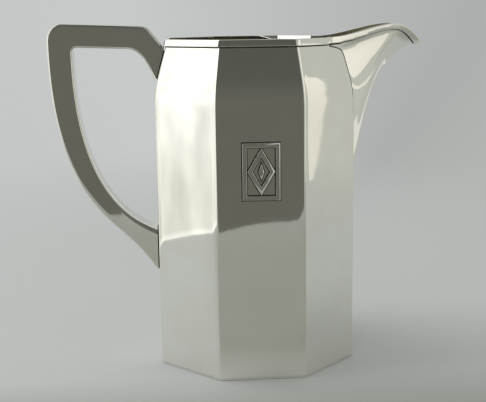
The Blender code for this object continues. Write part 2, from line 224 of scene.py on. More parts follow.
def cut_with(item, cutter):
    trim = item.modifiers.new("cut", "BOOLEAN")
    trim.operation = "DIFFERENCE"
    trim.object = cutter
    trim.material_mode = "TRANSFER"


def apply_modifiers(item, sharp=SHARP_FOLD):
    """Replaces the object's mesh by what its modifiers make of it."""
    graph = bpy.context.evaluated_depsgraph_get()
    mesh = bpy.data.meshes.new_from_object(item.evaluated_get(graph), depsgraph=graph)
    item.modifiers.clear()
    item.data = mesh
    mesh.shade_smooth()
    mesh.set_sharp_from_angle(angle=sharp)


def settle(piece, node):
    """Puts a finished piece in the frame in place of its CAD node."""
    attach(piece, "root")
    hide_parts(node)


def unevenness(point, seed):
    """A slow rise and fall over the hammered sheet, between about -1 and 1."""
    return noise.noise(point / UNEVEN_SIZE + Vector((seed, 3.7 * seed, -seed)))


# ---------------------------------------------------------------- materials

class Nodes:
    """Adds nodes to one material and links them by name."""

    def __init__(self, name):
        self.material = bpy.data.materials.new(name)
        self.material.use_nodes = True
        self.tree = self.material.node_tree
        self.shader = self.tree.nodes["Principled BSDF"]

    def add(self, kind, **settings):
        node = self.tree.nodes.new(kind)
        for key, value in settings.items():
            setattr(node, key, value)
        return node

    def link(self, source, target):
        self.tree.links.new(source, target)

    def noise(self, coords, scale, detail=2.0, stretch=None, roughness=0.5):
        if stretch is not None:
            mapping = self.add("ShaderNodeMapping")
            mapping.inputs["Scale"].default_value = stretch
            self.link(coords, mapping.inputs["Vector"])
            coords = mapping.outputs["Vector"]
        node = self.add("ShaderNodeTexNoise")
        node.inputs["Scale"].default_value = scale
        node.inputs["Detail"].default_value = detail
        node.inputs["Roughness"].default_value = roughness
        self.link(coords, node.inputs["Vector"])
        return node.outputs["Fac"]

    def spread(self, value, low, high, out_low, out_high):
        node = self.add("ShaderNodeMapRange")
        limits = {"From Min": low, "From Max": high, "To Min": out_low, "To Max": out_high}
        for key, number in limits.items():
            node.inputs[key].default_value = number
        self.link(value, node.inputs["Value"])
        return node.outputs["Result"]

    def bump(self, height, distance, normal=None):
        node = self.add("ShaderNodeBump")
        node.inputs["Strength"].default_value = 1.0
        node.inputs["Distance"].default_value = distance
        self.link(height, node.inputs["Height"])
        if normal is not None:
            self.link(normal, node.inputs["Normal"])
        return node.outputs["Normal"]


BRIGHT_SILVER = (0.93, 0.925, 0.875, 1.0)
DULL_SILVER = (0.78, 0.755, 0.64, 1.0)


WAVE_SIZE = 16.0 * MM       # the sizes of what the hammer, the wear and the air leave on silver
HAMMER_SIZE = 4.5 * MM
HAMMER_DEPTH = 0.0016 * MM
SCRATCH_SIZE = 0.5 * MM
SCRATCH_DEPTH = 0.0001 * MM
WEAR_SIZE = 9.0 * MM
TARNISH_SIZE = 30.0 * MM
TARNISH_MOST = 0.25         # share of the dull colour where the tarnish is strongest


def polished_silver(name, roughness=0.035, wave=0.010 * MM):
    """Hand-finished sterling: slow waves, faint hammer marks, fine wear and a trace of tarnish."""
    n = Nodes(name)
    n.shader.inputs["Metallic"].default_value = 1.0
    coords = n.add("ShaderNodeTexCoord").outputs["Object"]
    tarnish = n.noise(coords, 1.0 / TARNISH_SIZE, detail=5.0, roughness=0.6)
    mix = n.add("ShaderNodeMix", data_type="RGBA")
    mix.inputs["A"].default_value = BRIGHT_SILVER
    mix.inputs["B"].default_value = DULL_SILVER
    n.link(n.spread(tarnish, 0.42, 0.75, 0.0, TARNISH_MOST), mix.inputs["Factor"])
    n.link(mix.outputs["Result"], n.shader.inputs["Base Color"])
    wear = n.noise(coords, 1.0 / WEAR_SIZE, detail=6.0, roughness=0.65)
    n.link(n.spread(wear, 0.3, 0.7, roughness * 0.8, roughness * 1.35), n.shader.inputs["Roughness"])
    slow = n.noise(coords, 1.0 / WAVE_SIZE, detail=1.0)
    hammer = n.noise(coords, 1.0 / HAMMER_SIZE, detail=2.0)
    scratch = n.noise(coords, 1.0 / SCRATCH_SIZE, detail=2.0, stretch=(1.0, 1.0, 0.12))
    normal = n.bump(slow, wave)
    normal = n.bump(hammer, HAMMER_DEPTH, normal)
    normal = n.bump(scratch, SCRATCH_DEPTH, normal)
    n.link(normal, n.shader.inputs["Normal"])
    return n.material


# painted shade: the inside's colour darkened and warmed for the hollow's shade
SHADED_SATIN_SILVER = (0.62, 0.585, 0.44, 1.0)
STAINED_SILVER = (0.40, 0.35, 0.22, 1.0)
STAIN_SIZE = 26.0 * MM
BRUSH_SIZE = 0.8 * MM
BRUSH_DEPTH = 0.002 * MM


def satin_silver(name):
    """The unpolished inside: softer, its colour darkened and warmed as painted shade of the hollow, with
    water marks.
    """
    n = Nodes(name)
    n.shader.inputs["Metallic"].default_value = 1.0
    coords = n.add("ShaderNodeTexCoord").outputs["Object"]
    stain = n.noise(coords, 1.0 / STAIN_SIZE, detail=6.0, roughness=0.62)
    mix = n.add("ShaderNodeMix", data_type="RGBA")
    mix.inputs["A"].default_value = SHADED_SATIN_SILVER
    mix.inputs["B"].default_value = STAINED_SILVER
    n.link(n.spread(stain, 0.38, 0.68, 0.0, 1.0), mix.inputs["Factor"])
    n.link(mix.outputs["Result"], n.shader.inputs["Base Color"])
    n.link(n.spread(stain, 0.3, 0.7, 0.42, 0.55), n.shader.inputs["Roughness"])
    brushed = n.noise(coords, 1.0 / BRUSH_SIZE, detail=3.0, stretch=(1.0, 1.0, 0.1))
    n.link(n.bump(brushed, BRUSH_DEPTH), n.shader.inputs["Normal"])
    return n.material


# the dark of blackened solder, also used as painted shade in gaps and corners
BLACKEST_SOLDER_AND_SHADE = (0.03, 0.028, 0.022, 1.0)
GREYEST_SOLDER_AND_SHADE = (0.10, 0.09, 0.07, 1.0)
PATCH_SIZE = 12.0 * MM


def black_solder_and_painted_shade(name):
    """Blackened solder in the joints, and the same dark finish used as painted shade in gaps and corners."""
    n = Nodes(name)
    n.shader.inputs["Metallic"].default_value = 1.0
    n.shader.inputs["Roughness"].default_value = 0.5
    coords = n.add("ShaderNodeTexCoord").outputs["Object"]
    patches = n.noise(coords, 1.0 / PATCH_SIZE, detail=4.0)
    mix = n.add("ShaderNodeMix", data_type="RGBA")
    mix.inputs["A"].default_value = BLACKEST_SOLDER_AND_SHADE
    mix.inputs["B"].default_value = GREYEST_SOLDER_AND_SHADE
    n.link(n.spread(patches, 0.35, 0.65, 0.0, 1.0), mix.inputs["Factor"])
    n.link(mix.outputs["Result"], n.shader.inputs["Base Color"])
    return n.material


# ---------------------------------------------------------------- body wall

def apothem_at(z):
    arc_top = SHOULDER_Z + SHOULDER_RADIUS * math.sin(SHOULDER_LEAN)
    if z <= SHOULDER_Z:
        return APOTHEM
    if z <= arc_top:
        rise = z - SHOULDER_Z
        return APOTHEM - SHOULDER_RADIUS + math.sqrt(SHOULDER_RADIUS**2 - rise**2)
    drawn_in = SHOULDER_RADIUS * (1.0 - math.cos(SHOULDER_LEAN))
    return APOTHEM - drawn_in - (z - arc_top) * math.tan(SHOULDER_LEAN)


def octagon(apothem, z):
    """The eight corners of a level section, anticlockwise from the +X panel's -Y corner."""
    front, end = apothem * FRONT_RATIO, apothem * END_RATIO
    corners = [(apothem, -end), (apothem, end), (front, apothem), (-front, apothem),
               (-apothem, end), (-apothem, -end), (-front, -apothem), (front, -apothem)]
    return [Vector((x, y, z)) for x, y in corners]


def rounded_octagon(apothem, z):
    """The section with folded corners: pairs of point and outward direction."""
    corners = octagon(apothem, z)
    up = Vector((0.0, 0.0, 1.0))
    ring = []
    for i, corner in enumerate(corners):
        before = (corner - corners[i - 1]).normalized()
        after = (corners[(i + 1) % 8] - corner).normalized()
        out_before, out_after = before.cross(up), after.cross(up)
        turn = before.angle(after)
        tangent = CORNER_RADIUS * math.tan(0.5 * turn)
        centre = corner - before * tangent - out_before * CORNER_RADIUS
        for k in range(CORNER_STEPS + 1):
            outward = Matrix.Rotation(turn * k / CORNER_STEPS, 3, "Z") @ out_before
            ring.append((centre + outward * CORNER_RADIUS, outward))
        start = corner + after * tangent
        finish = corners[(i + 1) % 8] - after * tangent
        for k in range(1, PANEL_STEPS):
            ring.append((start.lerp(finish, k / PANEL_STEPS), out_after))
    return ring


def wall_levels():
    foot = BASE_HIGH.z + JOINT
    arc_top = SHOULDER_Z + SHOULDER_RADIUS * math.sin(SHOULDER_LEAN)
    levels = []
    for low, high, step in ((foot, SHOULDER_Z, LEVEL_STEP), (SHOULDER_Z, arc_top, LEAN_LEVEL_STEP),
                            (arc_top, RIM_Z, LEAN_LEVEL_STEP)):
        count = max(1, round((high - low) / step))
        levels += [low + (high - low) * i / count for i in range(count)]
    return levels + [RIM_Z]


def inner_apothem(z):
    """The inside of the wall, filed nearly upright just below the rim."""
    if z <= RIM_BEND_Z:
        return apothem_at(z) - SHEET
    bend = apothem_at(RIM_BEND_Z) - SHEET
    share = min(1.0, (z - RIM_BEND_Z) / (RIM_LIP_Z - RIM_BEND_Z))
    return bend + share * (RIM_INNER - bend)


def rim_ease(point):
    """How much further out the inside is towards the spout, just below the rim."""
    along = point.x / (RIM_INNER * FRONT_RATIO)
    share = min(1.0, max(0.0, along - RIM_EASE_START) / (1.0 - RIM_EASE_START))
    return share * max(0.0, point.z - RIM_LIP_Z) * RIM_EASE


def make_wall(outside, inside):
    levels = wall_levels()
    outer = [[point + outward * WALL_UNEVEN * (unevenness(point, 1.0) - 0.5)
              for point, outward in rounded_octagon(apothem_at(z), z)] for z in levels]
    inner = [[point + outward * rim_ease(point) for point, outward in rounded_octagon(inner_apothem(z), z)]
             for z in levels]
    rings = outer + inner[::-1]
    mesh = grid_mesh("pitcher_wall", rings + [rings[0]], closed=True)
    wall = add_mesh("pitcher_wall", mesh, outside, inside)
    for face in mesh.polygons:
        centre = face.center
        within = Vector((centre.x, centre.y)).length < INNER_SIDE * outline_radius(centre)
        face.material_index = 1 if within and centre.z < RIM_BEND_Z else 0
    cutter = opening_cutter()
    cut_with(wall, cutter)
    apply_modifiers(wall)
    bpy.data.objects.remove(cutter)
    return wall


def outline_radius(point):
    """How far out the wall's outer face is, in the direction of a point."""
    apothem = apothem_at(point.z)
    x, y = abs(point.x), abs(point.y)
    slanted = (1.0 - FRONT_RATIO) / (1.0 - END_RATIO)
    reach = max(x, y, (x + slanted * y) / (1.0 + slanted * END_RATIO))
    return math.hypot(x, y) * apothem / reach


def opening_cutter():
    """The spout's seam swept along X through the wall."""
    side = [seam_yz(i / SPOUT_STEPS) for i in range(SPOUT_STEPS)]
    eased = [(y + JOINT, z - JOINT) for y, z in side]
    top = RIM_Z + OPENING_TOP
    half = [(0.0, eased[0][1])] + eased[1:] + [(eased[-1][0], top)]
    outline = half + [(-y, z) for y, z in reversed(half[1:])]
    rows = [[Vector((reach * APOTHEM, y, z)) for y, z in outline] for reach in OPENING_REACH]
    mesh = grid_mesh("opening_cutter", rows, closed=True, capped=True)
    cutter = bpy.data.objects.new("opening_cutter", mesh)
    bpy.context.scene.collection.objects.link(cutter)
    return cutter


def make_base(material):
    rows = []
    for k in range(BASE_STEPS + 1):
        angle = 0.5 * math.pi * k / BASE_STEPS
        drawn_in = BASE_ROUND * (1.0 - math.sin(angle))
        rows.append((APOTHEM - drawn_in, BASE_LOW.z + BASE_ROUND * (1.0 - math.cos(angle))))
    rows.append((APOTHEM, BASE_HIGH.z))
    rings = [[point for point, _ in rounded_octagon(apothem, z)] for apothem, z in rows]
    return add_mesh("pitcher_base", grid_mesh("pitcher_base", rings, closed=True, capped=True), material)


# ---------------------------------------------------------------- spout

def on_body(y, z):
    apothem = apothem_at(z)
    end = apothem * END_RATIO
    side = abs(y)
    if side <= end:
        return Vector((apothem, y, z))
    slope = (1.0 - FRONT_RATIO) / (1.0 - END_RATIO)
    return Vector((apothem - (side - end) * slope, y, z))


def seam_yz(share):
    """Half of the spout's edge on the body as (y, z): 0 at the V's foot, 1 at the rim."""
    corner_y = APOTHEM * END_RATIO + SEAM_LAP
    turn_y = apothem_at(SEAM_TURN_Z) * END_RATIO + SEAM_LAP
    end_y, end_z = SEAM_END
    if share <= SEAM_CORNER_SHARE:
        foot, rise = SEAM_FOOT_Z, SEAM_CORNER_Z - SEAM_FOOT_Z
        point = bezier(Vector((0.0, foot)), Vector((SEAM_FOOT_HANDLE * corner_y, foot)),
                       Vector((SEAM_CORNER_HANDLE[0] * corner_y, foot + SEAM_CORNER_HANDLE[1] * rise)),
                       Vector((corner_y, SEAM_CORNER_Z)), share / SEAM_CORNER_SHARE)
        return point.x, point.y
    if share <= SEAM_TURN_SHARE:
        t = (share - SEAM_CORNER_SHARE) / (SEAM_TURN_SHARE - SEAM_CORNER_SHARE)
        z = SEAM_CORNER_Z + t * (SEAM_TURN_Z - SEAM_CORNER_Z)
        return apothem_at(z) * END_RATIO + SEAM_LAP, z
    if share <= SEAM_END_SHARE:
        t = (share - SEAM_TURN_SHARE) / (SEAM_END_SHARE - SEAM_TURN_SHARE)
        bend = Vector((turn_y, SEAM_TURN_Z + SEAM_BEND * (end_z - SEAM_TURN_Z)))
        point = bezier(Vector((turn_y, SEAM_TURN_Z)), bend, bend, Vector((end_y, end_z)), t)
        return point.x, point.y
    t = (share - SEAM_END_SHARE) / (1.0 - SEAM_END_SHARE)
    return end_y + t * (LIP_START_Y - end_y), end_z + t * (RIM_Z - end_z)


def lip_point(share):
    """Half of the lip curve: 0 at the pouring tip, 1 where it leaves the rim."""
    start = on_body(LIP_START_Y, RIM_Z)
    if share <= LIP_CREST_SHARE:
        return bezier(LIP_TIP, LIP_TIP + LIP_TIP_HANDLE, LIP_CREST + LIP_CREST_HANDLES[0], LIP_CREST,
                      share / LIP_CREST_SHARE)
    return bezier(LIP_CREST, LIP_CREST + LIP_CREST_HANDLES[1], start + LIP_START_HANDLE, start,
                  (share - LIP_CREST_SHARE) / (1.0 - LIP_CREST_SHARE))


def keel_point(share):
    foot = Vector((APOTHEM, 0.0, SEAM_FOOT_Z))
    return bezier(LIP_TIP, KEEL_HANDLES[0], KEEL_HANDLES[1], foot, share)


def spout_point(back, up):
    """The spout's outer face: back runs from tip to body, up from the keel to the lip.

    Its sections are hyperbolas, two nearly flat flanks joined by a rounded keel, and
    they turn into the seam towards the body.
    """
    low, lip = keel_point(back), lip_point(back)
    foot, start = keel_point(1.0), lip_point(1.0)
    seam = on_body(*seam_yz(up))
    round_width = math.sin(0.5 * math.pi * up)
    round_rise = 0.5 * (math.sqrt(SPOUT_KEEL**2 + 4.0 * (1.0 + SPOUT_KEEL) * round_width**2) - SPOUT_KEEL)
    seam_rise = (seam.z - foot.z) / (start.z - foot.z)
    seam_width = seam.y / start.y
    seam_set_out = seam.x - (foot.x + seam_rise * (start.x - foot.x))
    blend = back**SPOUT_BLEND
    rise = round_rise + blend * (seam_rise - round_rise)
    width = round_width + blend * (seam_width - round_width)
    return Vector((low.x + rise * (lip.x - low.x) + blend * seam_set_out,
                   width * lip.y,
                   low.z + rise * (lip.z - low.z)))


def station(back):
    return [spout_point(back, i / SPOUT_STEPS) for i in range(SPOUT_STEPS + 1)]


def make_spout(outside, inside):
    rows = []
    for k in range(SPOUT_STATIONS + 1):
        half = station(k / SPOUT_STATIONS)
        rows.append([mirrored(p) for p in half[:0:-1]] + half)
    spout = add_mesh("pitcher_spout", grid_mesh("pitcher_spout", rows), outside, inside, sharp=SHARP_SPOUT)
    sheet_modifier(spout, SHEET)
    apply_modifiers(spout, sharp=SHARP_SPOUT)
    return spout


def seam_solder(name, side, material):
    """A line of blackened solder along one side's seam, tapering downwards."""
    count = SEAM_SOLDER_STATIONS
    spots = []
    for k in range(count + 1):
        share = SEAM_SOLDER_FROM + (SEAM_END_SHARE - SEAM_SOLDER_FROM) * k / count
        point = on_body(*seam_yz(share))
        spots.append(Vector((point.x, side * point.y, point.z)))
    rows = []
    for k, spot in enumerate(spots):
        along = (spots[min(k + 1, count)] - spots[max(k - 1, 0)]).normalized()
        across = along.cross(Vector((1.0, side, 0.0)).normalized()).normalized()
        upward = across.cross(along)
        radius = SEAM_SOLDER * (SEAM_SOLDER_TAPER + (1.0 - SEAM_SOLDER_TAPER) * k / count)
        angles = [2.0 * math.pi * i / SEAM_SOLDER_SIDES for i in range(SEAM_SOLDER_SIDES)]
        rows.append([spot + (across * math.cos(a) + upward * math.sin(a)) * radius for a in angles])
    return add_mesh(name, grid_mesh(name, rows, closed=True, capped=True), material)


# ---------------------------------------------------------------- rim band

def band_outline():
    """The band's section as (outward, down): rounded outside, flat against the sheet."""
    outline = [(JOINT, 0.0)]
    for centre_down, start in ((BAND_ROUND, -90.0), (BAND_HEIGHT - BAND_ROUND, 0.0)):
        for k in range(BAND_ROUND_STEPS + 1):
            angle = math.radians(start + 90.0 * k / BAND_ROUND_STEPS)
            outline.append((BAND_THICK - BAND_ROUND + BAND_ROUND * math.cos(angle),
                            centre_down + BAND_ROUND * math.sin(angle)))
    middle = len(outline) // 2 + 1
    outline[middle:middle] = [(BAND_THICK + BAND_CROWN, BAND_HEIGHT * share) for share in BAND_CROWN_SHARES]
    return outline + [(JOINT, BAND_HEIGHT)]


def band_shadow_outline():
    """A dark strip in the corner under the band, painted as the gap's shadow."""
    return [(JOINT, BAND_HEIGHT + BAND_SHADOW_HEIGHT), (JOINT, BAND_HEIGHT - BAND_SHADOW_PROUD),
            (BAND_SHADOW_PROUD, BAND_HEIGHT - BAND_SHADOW_PROUD),
            (BAND_SHADOW_PROUD, BAND_HEIGHT + 0.5 * BAND_SHADOW_HEIGHT)]


def rim_frames():
    """Point, outward and down all along the rim, from the pouring tip round and back."""
    far = [lip_frame(k / SPOUT_STATIONS) for k in range(1, SPOUT_STATIONS + 1)]
    near = [tuple(mirrored(vector) for vector in spot) for spot in reversed(far)]
    return near + [tip_frame()] + far + body_frames()


def swept(name, outline, material):
    """A closed ring with one section all along the rim."""
    ring = [[point + outward * out + down * drop for out, drop in outline]
            for point, outward, down in rim_frames()]
    rows = [list(points) for points in zip(*ring)]
    rows.append(rows[0])
    bm = bmesh.new()
    bm.from_mesh(grid_mesh(name, rows, closed=True))
    bmesh.ops.recalc_face_normals(bm, faces=bm.faces)
    mesh = bpy.data.meshes.new(name)
    bm.to_mesh(mesh)
    bm.free()
    return add_mesh(name, mesh, material, sharp=SHARP_BAND)


def body_frames():
    """Along the rim from the lip's +Y end round the back to its -Y end."""
    lean = Vector((0.0, 0.0, -1.0))
    start = on_body(LIP_START_Y, RIM_Z)
    return [(point, outward, outward * math.tan(SHOULDER_LEAN) + lean)
            for point, outward in rounded_octagon(apothem_at(RIM_Z), RIM_Z)
            if point.x < start.x - BAND_LIP_CLEAR]


def lip_frame(share):
    """Laid along the stretch of the spout that the band covers."""
    points = station(share)
    head = points[-1]
    before = next((p for p in reversed(points) if (head - p).length > BAND_HEIGHT), points[0])
    run = (head - before).normalized()
    step = 0.5 / SPOUT_STATIONS
    along = lip_point(min(share + step, 1.0)) - lip_point(share - step)
    return head, along.cross(run).normalized(), -run


def tip_frame():
    run = (LIP_TIP - keel_point(0.5 / SPOUT_STATIONS)).normalized()
    return LIP_TIP, Vector((0.0, 1.0, 0.0)).cross(run), -run


# ---------------------------------------------------------------- handle

def handle_stations():
    """Pairs of outer and inner points in the XZ plane, from the upper joint to the lower."""
    pairs = []
    for steps, outer, inner in HANDLE_RUNS:
        for i in range(0 if not pairs else 1, steps + 1):
            pairs.append([bezier(*(Vector((x, 0.0, z)) * MM for x, z in curve), i / steps)
                          for curve in (outer, inner)])
    return pairs


def flare(distance, length):
    left = max(0.0, 1.0 - distance / length)
    return left * left


def handle_half_width(point):
    """Half the handle's width at a point, widening where it meets the body."""
    gap = max(0.0, -point.x - apothem_at(point.z))
    if point.z > HANDLE_SPLIT_Z:
        extra = (HANDLE_HEAD_WIDTH - HANDLE_WIDTH) * flare(gap, HANDLE_HEAD_FLARE)
    else:
        extra = (HANDLE_FOOT_WIDTH - HANDLE_WIDTH) * flare(gap, HANDLE_FOOT_FLARE)
    return 0.5 * (HANDLE_WIDTH + extra)


def quarter(corner, along, across):
    """A rounded corner: from the flat that runs along, round to the flat that runs across."""
    centre = corner - (along + across) * HANDLE_ROUND
    points = []
    for k in range(2 * EDGE_STEPS + 1):
        angle = 0.5 * math.pi * k / (2 * EDGE_STEPS)
        points.append(centre + (along * math.sin(angle) + across * math.cos(angle)) * HANDLE_ROUND)
    return points


def handle_section(outer, inner):
    """The rounded section, split at the middle of its edges into the four soldered sheets."""
    out = (outer - inner).normalized()
    side = Vector((0.0, 1.0, 0.0))
    spots = [(outer, out, -1.0), (outer, out, 1.0), (inner, -out, 1.0), (inner, -out, -1.0)]
    corners = []
    for k, (point, away, sign) in enumerate(spots):
        arc = quarter(point + side * sign * handle_half_width(point), away, side * sign)
        corners.append(arc if k % 2 == 0 else arc[::-1])
    pieces = []
    for k in range(4):
        leaving, reaching = corners[k][EDGE_STEPS:], corners[(k + 1) % 4][:EDGE_STEPS + 1]
        flat = [leaving[-1].lerp(reaching[0], i / FLAT_STEPS) for i in range(1, FLAT_STEPS)]
        if k % 2 == 1:
            for point in flat:
                point.y = math.copysign(handle_half_width(point), point.y)
        pieces.append(leaving + flat + reaching)
    return pieces


def handle_core(outer, inner):
    """Four corners just inside the handle's faces."""
    inset = (outer - inner).normalized() * SOLDER_AND_SHADE_SUNK
    low, high = inner + inset, outer - inset
    corners = []
    for point, sign in ((high, -1.0), (high, 1.0), (low, 1.0), (low, -1.0)):
        corners.append(point + Vector((0.0, sign * (handle_half_width(point) - SOLDER_AND_SHADE_SUNK), 0.0)))
    return corners


def joint_clearance(gap):
    """The body's outline, larger by a gap."""
    levels = [BASE_HIGH.z, SHOULDER_Z] + [z for z in wall_levels() if z > SHOULDER_Z]
    rows = [octagon(apothem_at(z) + gap, z) for z in levels]
    mesh = grid_mesh("joint_clearance", rows, closed=True, capped=True)
    cutter = bpy.data.objects.new("joint_clearance", mesh)
    bpy.context.scene.collection.objects.link(cutter)
    return cutter


def make_handle(cheek_finish, band_finish, solder_and_painted_shade):
    pairs = handle_stations()
    sections = [handle_section(outer, inner) for outer, inner in pairs]
    names = [("handle_outer_band", band_finish), ("handle_side_back", cheek_finish),
             ("handle_inner_band", band_finish), ("handle_side_front", cheek_finish)]
    cutter = joint_clearance(SOLDER_AND_SHADE_LINE)
    for k, (node, finish) in enumerate(names):
        name = "pitcher_" + node
        rows = [section[k] for section in sections]
        piece = add_mesh(name, grid_mesh(name, rows), finish, sharp=SHARP_BAND)
        sheet_modifier(piece, HANDLE_SHEET)
        cut_with(piece, cutter)
        apply_modifiers(piece, sharp=SHARP_BAND)
        settle(piece, node)
    bpy.data.objects.remove(cutter)
    cutter = joint_clearance(JOINT)
    # dark pieces in the joints: blackened solder, and painted shade of the gap between handle and body
    stretches = {"pitcher_solder_and_shade_head": pairs[:HEAD_STATIONS], "pitcher_solder_and_shade_foot": pairs[-FOOT_STATIONS:]}
    for name, stretch in stretches.items():
        rows = [handle_core(outer, inner) for outer, inner in stretch]
        piece = add_mesh(name, grid_mesh(name, rows, closed=True, capped=True), solder_and_painted_shade)
        cut_with(piece, cutter)
        apply_modifiers(piece)
        settle(piece, "handle_side_front")
    bpy.data.objects.remove(cutter)


# ---------------------------------------------------------------- ornament

def rectangle(half_width, half_height):
    return [(-half_width, -half_height), (half_width, -half_height),
            (half_width, half_height), (-half_width, half_height)]


def lozenge(half_width, half_height):
    return [(0.0, -half_height), (half_width, 0.0), (0.0, half_height), (-half_width, 0.0)]


def raised_outline(name, outlines, material, thickness, edge_radius):
    """A flat piece with softened edges, soldered to the front panel."""
    curve = bpy.data.curves.new(name, "CURVE")
    curve.dimensions = "2D"
    curve.fill_mode = "BOTH"
    curve.extrude = 0.5 * thickness
    for outline in outlines:
        spline = curve.splines.new("POLY")
        spline.points.add(len(outline) - 1)
        for point, (x, z) in zip(spline.points, outline):
            point.co = (x, z, 0.0, 1.0)
        spline.use_cyclic_u = True
    flat = bpy.data.objects.new(name, curve)
    bpy.context.scene.collection.objects.link(flat)
    graph = bpy.context.evaluated_depsgraph_get()
    mesh = bpy.data.meshes.new_from_object(flat.evaluated_get(graph), depsgraph=graph)
    bpy.data.objects.remove(flat)
    place = 0.5 * (ORNAMENT_LOW + ORNAMENT_HIGH)
    place.y = -APOTHEM - 0.5 * thickness
    mesh.transform(Matrix.Translation(place) @ Matrix.Rotation(0.5 * math.pi, 4, "X"))
    bm = bmesh.new()
    bm.from_mesh(mesh)
    bmesh.ops.remove_doubles(bm, verts=bm.verts, dist=ORNAMENT_WELD)
    bmesh.ops.dissolve_limit(bm, angle_limit=ORNAMENT_FLAT, verts=bm.verts, edges=bm.edges)
    bm.to_mesh(mesh)
    bm.free()
    mesh.materials.clear()
    piece = add_mesh(name, mesh, material)
    if edge_radius > 0.0:
        edge = piece.modifiers.new("edge", "BEVEL")
        edge.width = edge_radius
        edge.segments = ORNAMENT_ROUND_STEPS
        apply_modifiers(piece)
    return piece


def ornament_shapes(extra):
    """The outlines of the three pieces, each strip wider by extra on both sides."""
    half_width = 0.5 * (ORNAMENT_HIGH.x - ORNAMENT_LOW.x)
    half_height = 0.5 * (ORNAMENT_HIGH.z - ORNAMENT_LOW.z)
    inner_width, inner_height = half_width - ORNAMENT_STRIP, half_height - ORNAMENT_STRIP
    wide, tall = inner_width - ORNAMENT_INSET, inner_height - ORNAMENT_INSET
    per_scale = wide * tall / math.hypot(wide, tall)
    outside, inside = 1.0 + extra / per_scale, 1.0 - (ORNAMENT_STRIP + extra) / per_scale
    stud = 1.0 + 2.0 * extra / STUD_WIDTH
    return {
        "ornament_frame": [rectangle(half_width + extra, half_height + extra),
                           rectangle(inner_width - extra, inner_height - extra)],
        "ornament_lozenge": [lozenge(wide * outside, tall * outside), lozenge(wide * inside, tall * inside)],
        "ornament_stud": [lozenge(0.5 * STUD_WIDTH * stud, 0.5 * STUD_HEIGHT * stud)],
    }


def make_ornament(material, solder_and_painted_shade):
    raised = -APOTHEM - ORNAMENT_LOW.y
    for node, outlines in ornament_shapes(0.0).items():
        settle(raised_outline("pitcher_" + node, outlines, material, raised, ORNAMENT_ROUND),
               node)
    # dark rims round the strips: blackened solder and painted shade along their edges
    for node, outlines in ornament_shapes(ORNAMENT_SOLDER_AND_SHADE_PROUD).items():
        settle(raised_outline("pitcher_solder_and_shade_" + node, outlines, solder_and_painted_shade, ORNAMENT_SOLDER_AND_SHADE, 0.0),
               node)


# ---------------------------------------------------------------- floor, light and camera

FLOOR_RADIUS = 8.0
FLOOR_SIDES = 96
FLOOR_COLOUR = (0.70, 0.715, 0.705, 1.0)
FLOOR_SHADE = (0.46, 0.465, 0.425, 1.0)     # painted shade in front, towards the dark side of the room
SHADE_FROM, SHADE_TO = -0.115, -0.05        # the shade gives way to the floor's colour between these
FLOOR_NEAR, FLOOR_FAR = 0.30, 1.0   # the floor's own shading fades into the backdrop between these

# The backdrop's colour from the left (-1) to the right (1)
BACKDROP_STOPS = [(-1.0, (0.54, 0.55, 0.545)), (-0.2, (0.56, 0.575, 0.57)), (-0.05, (0.565, 0.59, 0.585)),
                  (0.3, (0.415, 0.425, 0.42)), (0.7, (0.50, 0.51, 0.47)), (1.0, (0.53, 0.54, 0.49))]

# The cards: the floor line or outline of each, its height, and its light by height, all in metres
LEFT_LINE = [(-0.70, -0.44), (-0.431, -0.076), (-0.388, -0.018), (-0.24, 0.18)]
LEFT_STOPS = [(0.0, (1.2, 1.2, 1.15)), (0.0015, (1.15, 1.15, 1.1)), (0.004, (0.87, 0.87, 0.81)),
              (0.035, (0.87, 0.87, 0.81)), (0.12, (1.02, 1.02, 0.97)), (0.2, (1.25, 1.25, 1.2)),
              (1.6, (1.5, 1.5, 1.45))]
LEFT_STREAK = 0.22
FRONT_LINE = [(-0.70, -0.44), (-0.10, -0.448), (-0.008, -0.456), (0.037, -0.476), (0.073, -0.505),
              (0.16, -0.56)]
FRONT_STOPS = [(0.0, (0.130, 0.130, 0.111)), (0.2, (0.130, 0.130, 0.111)), (0.42, (0.095, 0.10, 0.088)),
               (1.6, (0.08, 0.085, 0.075))]
ROOM_HIGH = 1.6
RIGHT_X = 0.63
RIGHT_FAR_EDGE = [(0.045, 0.014), (0.050, 0.033), (0.053, 0.060), (0.055, 0.079), (0.059, 0.101),
                  (0.058, 0.198), (0.074, 0.29), (0.076, 0.325), (0.06, 0.345)]     # it leans
RIGHT_NEAR_EDGE = [(0.010, 0.345), (0.010, 0.05), (0.022, 0.03), (0.034, 0.010)]    # and its sill
RIGHT_FRONT_PART = [(-0.06, 0.27), (-0.04, 0.60), (-0.70, 0.60), (-0.70, 0.0), (-0.365, 0.0), (-0.36, 0.15)]
RIGHT_STOPS = [(0.0, (0.76, 0.735, 0.67)), (0.10, (0.80, 0.78, 0.71)), (0.6, (0.98, 0.95, 0.88))]
BACK_LINE = [(0.380, 0.301), (0.352, 0.328)]
BACK_HIGH = 0.4
BACK_STOPS = [(0.0, (0.74, 0.74, 0.69))]
STREAK_SLANT = math.radians(35.0)
STREAK_SCALE = (34.0, 34.0, 9.0)    # streaks per metre across, across and along

SOFTBOX_PLACE = Vector((-1.1, 0.3, 1.6))
SOFTBOX_SIZE = 1.2
SOFTBOX_WATTS = 9.3

CAMERA_PLACE = Vector((-47.55, -587.7, 205.3)) * MM
CAMERA_YAW = 0.0702
CAMERA_PITCH = 0.187
CAMERA_ROLL = 0.0131
CAMERA_LENS = 72.18
CAMERA_SENSOR = 36.0
CAMERA_CLIP = 0.01


